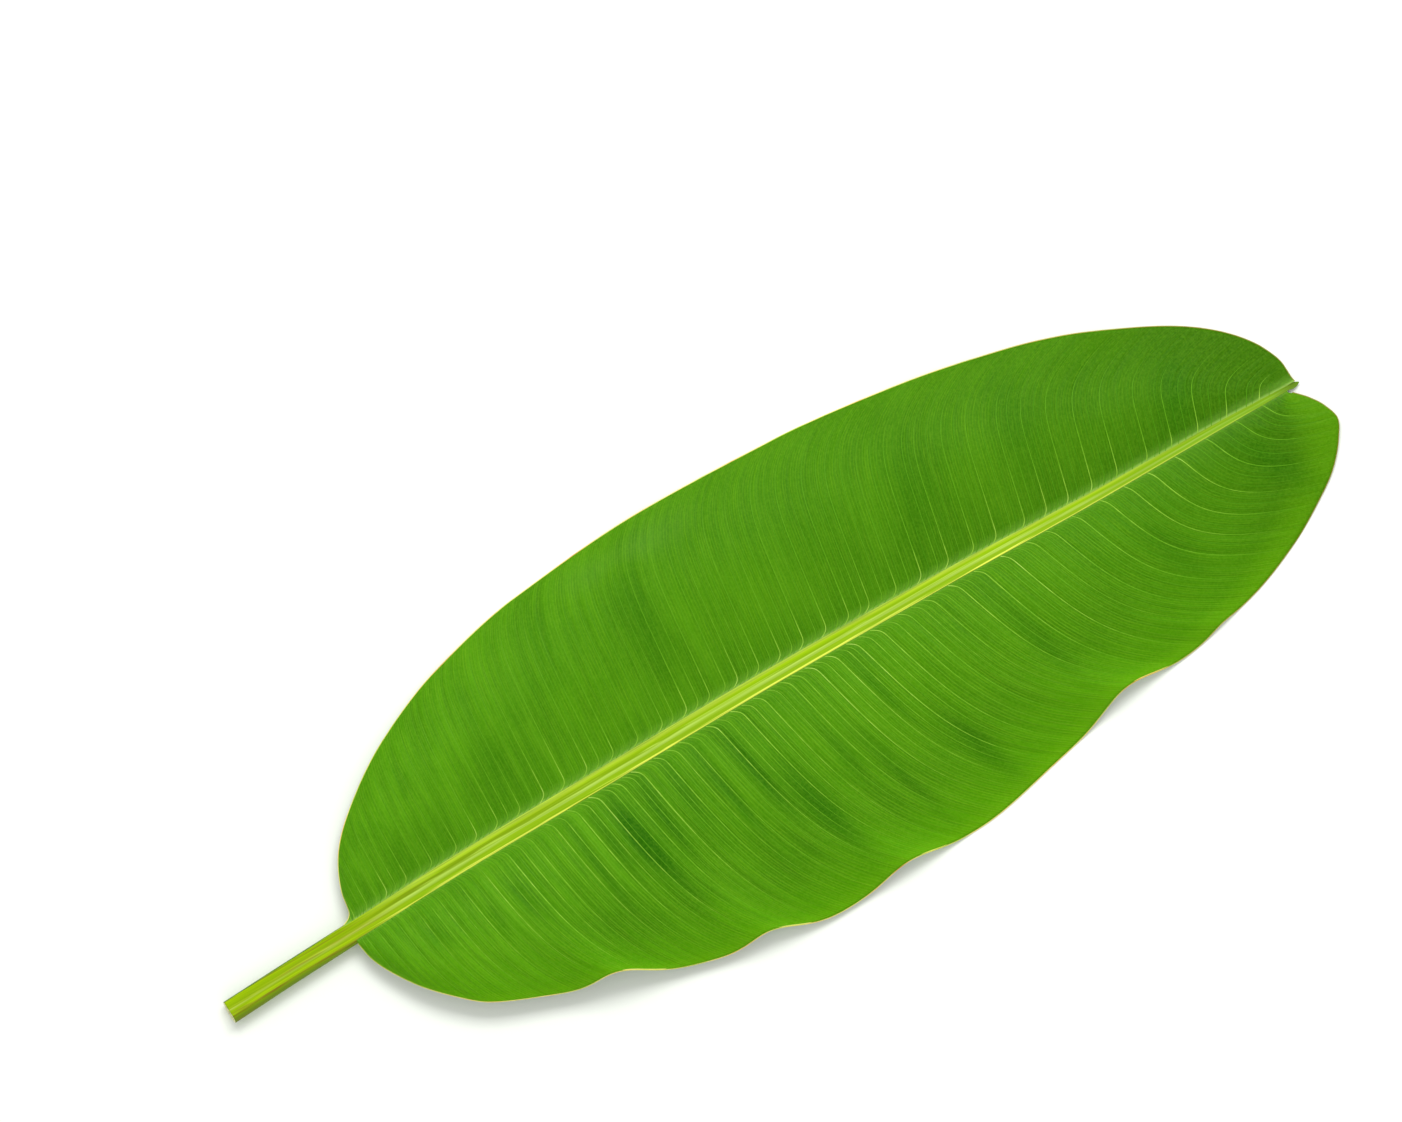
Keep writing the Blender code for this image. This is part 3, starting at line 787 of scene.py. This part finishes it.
def midrib_skin():
    """The stalk and midrib: smooth, wet-looking fibre in long bands, yellow at the rims of the
    channel, where the upper rim is partly a painted highlight, greyish with a painted highlight where
    the floor catches the light, and olive on the stalk, with a dark line of painted shade along its
    upper flank. A place on the bands is 1/6 at the channel's lower rim and 5/6 at its upper one."""
    material, tree, shader, node = new_material("fibrous_midrib_skin")
    across, height = (
        node("ShaderNodeAttribute", attribute_name=key).outputs["Fac"] for key in ("across", "height")
    )
    where = node("ShaderNodeTexCoord").outputs["Object"]
    along = node("ShaderNodeSeparateXYZ", (where,)).outputs["X"]

    # Fibres about 1 mm apart that run the whole length.
    drawn_out = node("ShaderNodeMapping", {"Vector": where, "Scale": (9.0, 900.0, 900.0)})
    fibres = node("ShaderNodeTexNoise", {"Vector": drawn_out, "Scale": 1.0, "Detail": 3.0})
    shift = node("ShaderNodeMapRange", (fibres, 0.35, 0.65, -0.035, 0.035))
    place = node("ShaderNodeMath", (across, 1 / 3, 0.5), operation="MULTIPLY_ADD")
    place = node("ShaderNodeMath", (place, shift), operation="ADD")
    # On the blade, the pale band at 0.46 to 0.53 is a painted highlight where the channel's floor
    # catches the light, and the pale yellow at 0.73 to 0.82 is partly a painted highlight on the upper
    # rim.
    on_blade = node(
        "ShaderNodeValToRGB", (place,),
        stops=(
            (0.06, "#7d9a10"), (0.150, "#96ac14"), (0.165, "#dde650"), (0.215, "#e2ea5c"),
            (0.25, "#8ab40a"), (0.38, "#8ab008"), (0.46, "#b0d058"), (0.53, "#aed048"),
            (0.58, "#8eb806"), (0.66, "#9cc60a"), (0.73, "#bedc34"), (0.82, "#c0de50"),
        ),
    )
    on_stalk = node(
        "ShaderNodeValToRGB", (place,),
        stops=(
            (0.03, "#708c1a"), (0.12, "#809e10"), (0.145, "#786a16"), (0.17, "#84841a"),
            (0.20, "#94b206"), (0.30, "#a0c006"), (0.39, "#8eac04"), (0.46, "#aabf44"),
            (0.51, "#9cb41c"), (0.60, "#88a800"), (0.73, "#98ba00"), (0.82, "#a2c400"),
            # Past the upper rim, a dark line of painted shade along the outer flank.
            (0.865, "#809e06"), (0.895, "#3c6204"),
        ),
    )
    # The channel's upper wall is duller on the first third of the blade.
    base = BLADE_BASE[0]
    floor = node("ShaderNodeMapRange", (place, 0.52, 0.57, 0.0, 1.0), interpolation_type="SMOOTHSTEP")
    wall = node("ShaderNodeMapRange", (place, 0.69, 0.62, 0.0, 0.85), interpolation_type="SMOOTHSTEP")
    share = node("ShaderNodeMapRange", (along, base + 0.32, base + 0.04, 0.0, 1.0))
    share = node("ShaderNodeMath", (share, floor), operation="MULTIPLY")
    share = node("ShaderNodeMath", (share, wall), operation="MULTIPLY")
    on_blade = node("ShaderNodeMix", {0: share, 6: on_blade, 7: "#748a0e"}, data_type="RGBA")
    share = node(
        "ShaderNodeMapRange", (along, base - 0.012, base + 0.06, 0.0, 1.0),
        interpolation_type="SMOOTHSTEP",
    )
    colour = node("ShaderNodeMix", {0: share, 6: on_stalk, 7: on_blade}, data_type="RGBA")

    # Brown hair lines about 2 mm apart, on the stalk alone.
    thin = node(
        "ShaderNodeMapping",
        {"Vector": where, "Scale": (5.0, 520.0, 520.0), "Location": (3.0, 0.0, 0.0)},
    )
    thin = node("ShaderNodeTexNoise", {"Vector": thin, "Scale": 1.0, "Detail": 2.0})
    thin = node("ShaderNodeMapRange", (thin, 0.57, 0.66, 0.0, 0.6))
    only = node("ShaderNodeMapRange", (along, base + 0.06, base - 0.01, 0.0, 1.0))
    thin = node("ShaderNodeMath", (thin, only), operation="MULTIPLY")

    to_tip = node("ShaderNodeMapRange", (along, 0.22, 0.44, 0.0, 0.75), interpolation_type="SMOOTHSTEP")
    lines = node("ShaderNodeMapRange", (fibres, 0.38, 0.62, 0.0, 0.42))
    below = node("ShaderNodeMapRange", (height, 0.05, -0.55, 0.0, 0.8), interpolation_type="SMOOTHSTEP")
    point = node("ShaderNodeMapRange", (along, 0.425, 0.450, 0.0, 0.8), interpolation_type="SMOOTHSTEP")
    for share, tint in (
        # It turns greener towards the tip, and the fibres and hair lines show.
        (to_tip, "#6f9f1e"), (lines, "#6d9006"), (thin, "#7f7420"),
        # The underside is paler and dull with wax, and the point is withered.
        (below, "#93ad5c"), (point, "#567818"),
    ):
        colour = node("ShaderNodeMix", {0: share, 6: colour, 7: tint}, data_type="RGBA")
    fill_inputs(tree, shader, {
        "Base Color": colour,
        "Roughness": node("ShaderNodeMapRange", (fibres, 0.3, 0.7, 0.34, 0.48)),
        "IOR": 1.45,
        "Specular IOR Level": 0.06,
        "Normal": node("ShaderNodeBump", {"Height": fibres, "Strength": 1.0, "Distance": 0.0004}),
    })
    return material


def cut_pith():
    """The fresh cut through the stalk: a cream rind round wet pith with air chambers about 2 mm
    across, a little browned."""
    material, tree, shader, node = new_material("cut_stalk_pith")
    cut = node("ShaderNodeAttribute", attribute_name="cut").outputs["Fac"]
    where = node("ShaderNodeTexCoord").outputs["Object"]
    flat = node("ShaderNodeMapping", {"Vector": where, "Scale": (0.0, 1.0, 1.0)})
    walls = node("ShaderNodeTexVoronoi", {"Vector": flat, "Scale": 480.0}, feature="DISTANCE_TO_EDGE")
    colour = node(
        "ShaderNodeValToRGB", (walls,),
        stops=((0.02, "#ecebc4"), (0.12, "#d2d3a0"), (0.34, "#98a266")),
    )
    rind = node("ShaderNodeMapRange", (cut, 0.80, 0.92, 0.0, 1.0), interpolation_type="SMOOTHSTEP")
    colour = node("ShaderNodeMix", {0: rind, 6: colour, 7: "#eeecae"}, data_type="RGBA")
    stains = node("ShaderNodeTexNoise", {"Vector": where, "Scale": 420.0, "Detail": 3.0})
    stains = node("ShaderNodeMapRange", (stains, 0.56, 0.66, 0.0, 0.8))
    colour = node("ShaderNodeMix", {0: stains, 6: colour, 7: "#5d4420"}, data_type="RGBA")
    fill_inputs(tree, shader, {
        "Base Color": colour,
        "Roughness": 0.4,
        "Normal": node("ShaderNodeBump", {"Height": walls, "Strength": 0.8, "Distance": -0.0008}),
    })
    return material


def paper_ground():
    """Smooth paper, just off white, so that what the light misses turns a soft grey green."""
    material, tree, shader, _ = new_material("white_paper")
    fill_inputs(tree, shader, {"Base Color": "#f6faf2", "Roughness": 0.9})
    return material


PHOTO_SCALE = 0.00074  # metres of the leaf to one pixel of the photograph
PHOTO_SIZE = (1402, 1122)
# The place that the middle of the photograph shows.
LOOK_AT = (0.3585 + BLADE_BASE[0], 0.1040 + BLADE_BASE[1], 0.0)
PHOTO_TURN = math.radians(30.3)
CAMERA_HEIGHT = 5.0
SENSOR_WIDTH = 36
GROUND_REACH = 3
# The paper lies a hair below z = 0, so that no face of the leaf shares its plane.
GROUND_Z = -0.0002
PANEL_SIZE = (2.0, 1.0)
PANEL_POWER = 52
# How far the panel stands beyond the picture's middle, towards its upper side, and how high.
PANEL_BEYOND = 1.5
PANEL_HEIGHT = 2.15
ROOM_BRIGHTNESS = 0.74


def make_camera():
    """Straight above the leaf through a long lens, turned so that the leaf lies as photographed.
    Gives back the direction that is up in the picture."""
    right = Vector((math.cos(PHOTO_TURN), -math.sin(PHOTO_TURN), 0))
    up = Vector((math.sin(PHOTO_TURN), math.cos(PHOTO_TURN), 0))
    lens = bpy.data.cameras.new("camera")
    lens.sensor_width = SENSOR_WIDTH
    lens.lens = SENSOR_WIDTH * CAMERA_HEIGHT / (PHOTO_SIZE[0] * PHOTO_SCALE)
    lens.clip_end = 50
    camera = bpy.data.objects.new("camera", lens)
    turn = Matrix((right, up, (0, 0, 1))).transposed().to_4x4()
    camera.matrix_world = Matrix.Translation(Vector(LOOK_AT) + Vector((0, 0, CAMERA_HEIGHT))) @ turn
    bpy.context.scene.collection.objects.link(camera)
    bpy.context.scene.camera = camera
    return up


def make_studio(up):
    """White paper under an even, bright room, with one soft panel beyond the leaf's upper side."""
    signs = ((-1, -1), (1, -1), (1, 1), (-1, 1))
    corners = [(x * GROUND_REACH, y * GROUND_REACH, GROUND_Z) for x, y in signs]
    ground = add_piece("ground", corners, [(0, 1, 2, 3)])
    ground.data.materials.append(paper_ground())
    panel = bpy.data.lights.new("soft_panel", "AREA")
    panel.shape = "RECTANGLE"
    panel.size, panel.size_y = PANEL_SIZE
    panel.energy = PANEL_POWER
    light = bpy.data.objects.new("soft_panel", panel)
    centre = Vector(LOOK_AT)
    place = centre + up * PANEL_BEYOND + Vector((0, 0, PANEL_HEIGHT))
    turn = (centre - place).to_track_quat("-Z", "Y").to_matrix().to_4x4()
    light.matrix_world = Matrix.Translation(place) @ turn
    bpy.context.scene.collection.objects.link(light)
    world = bpy.data.worlds.new("studio")
    world.use_nodes = True
    room = world.node_tree.nodes["Background"]
    fill_inputs(world.node_tree, room, {"Color": "#ffffff", "Strength": ROOM_BRIGHTNESS})
    bpy.context.scene.world = world
    bpy.context.scene.view_settings.view_transform = "Standard"


def main():
    """Loads the CAD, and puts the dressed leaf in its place."""
    for old in list(bpy.data.objects):
        bpy.data.objects.remove(old)
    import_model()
    make_studio(make_camera())
    faces = {name: leaf_face(f"leaf_face_{name}_half", **looks) for name, looks in FACE_LOOKS.items()}
    underside, edge, vein = leaf_underside(), margin_rim(), vein_skin()
    strands = strand_tree()
    pieces = [make_midrib(midrib_skin(), cut_pith())]
    for name, half in HALVES.items():
        pieces.append(make_blade_half(f"blade_{name}_half", half, (faces[name], underside, edge)))
        pieces.append(make_veins(f"veins_{name}_half", half, strands, vein))
        pieces.append(make_rim(f"rim_{name}_half", half, strands, edge))
    for piece in pieces:
        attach(piece, "root")
        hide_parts("banana_leaf")
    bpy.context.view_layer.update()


main()
